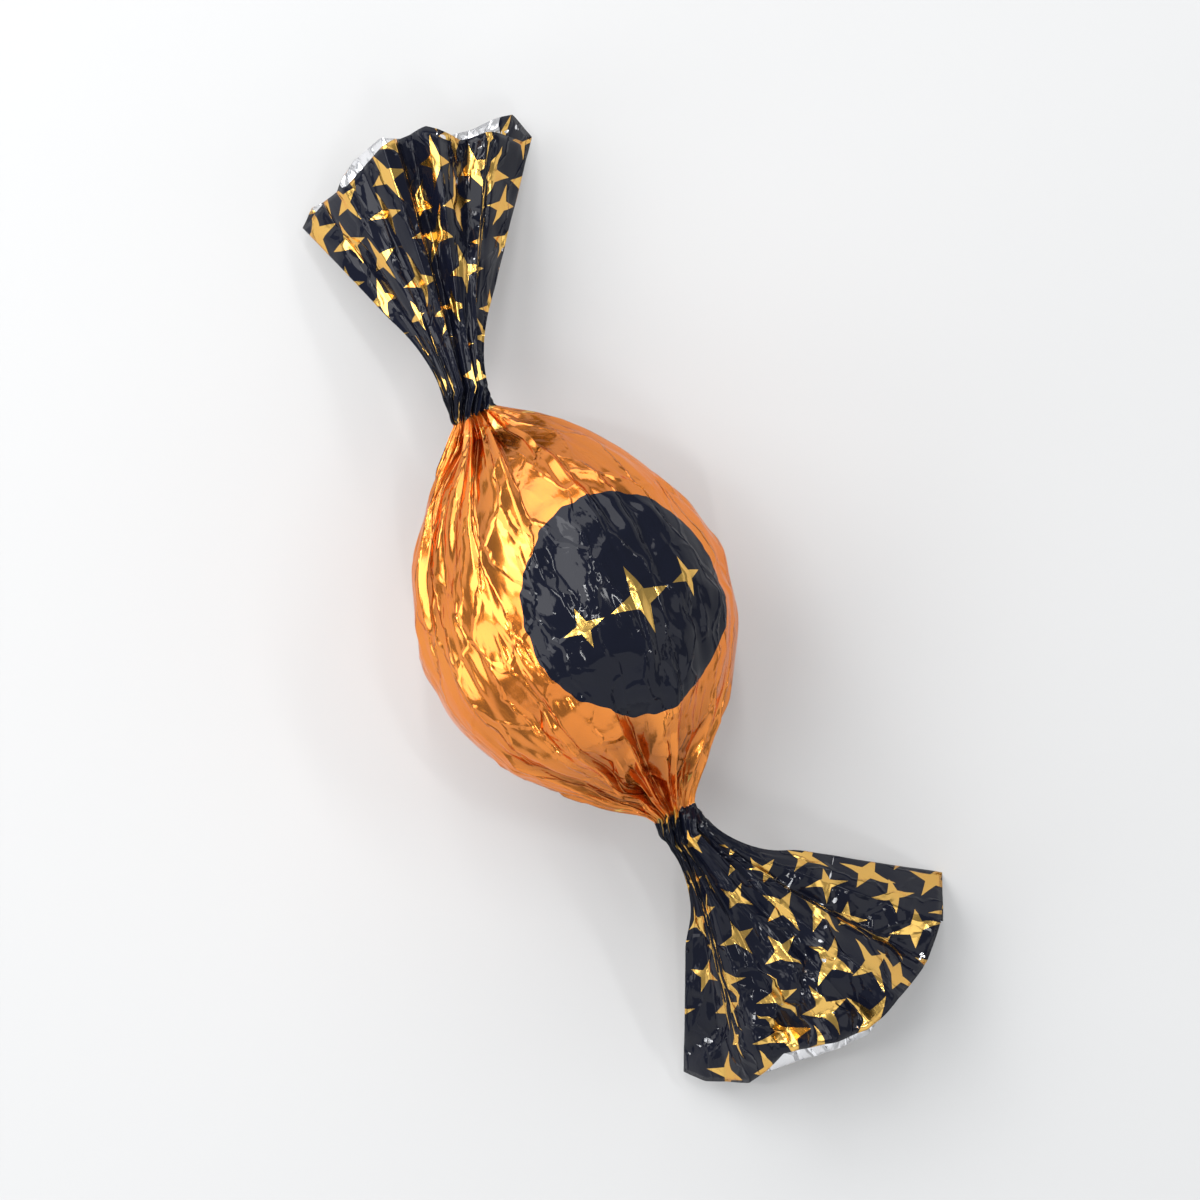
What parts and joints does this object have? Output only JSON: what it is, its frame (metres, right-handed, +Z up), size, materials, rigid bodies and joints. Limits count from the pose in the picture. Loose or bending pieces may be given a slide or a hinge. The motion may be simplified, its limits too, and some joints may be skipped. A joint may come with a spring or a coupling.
{
  "type": "twist-wrapped chocolate ball",
  "caption": "Chocolate ball twist-wrapped in orange and dark printed foil, lying on its side, with both ends of the wrapper fanned out beyond the twists.",
  "frame": {"origin": "middle of the footprint, on the surface that the wrapped ball rests on", "axes": "+X along the wrapper from the twist on its long shoulder to the one on its short shoulder, +Z up out of the side with the dark disc"},
  "size_m": [0.098, 0.0356, 0.0297],
  "materials": {
    "printed_foil": "glossy printed foil, orange over the ball and near-black with gold stars on both ends"
  },
  "bodies": {
    "root": {"wrapped_ball": "printed_foil"}
  },
  "joints": []
}
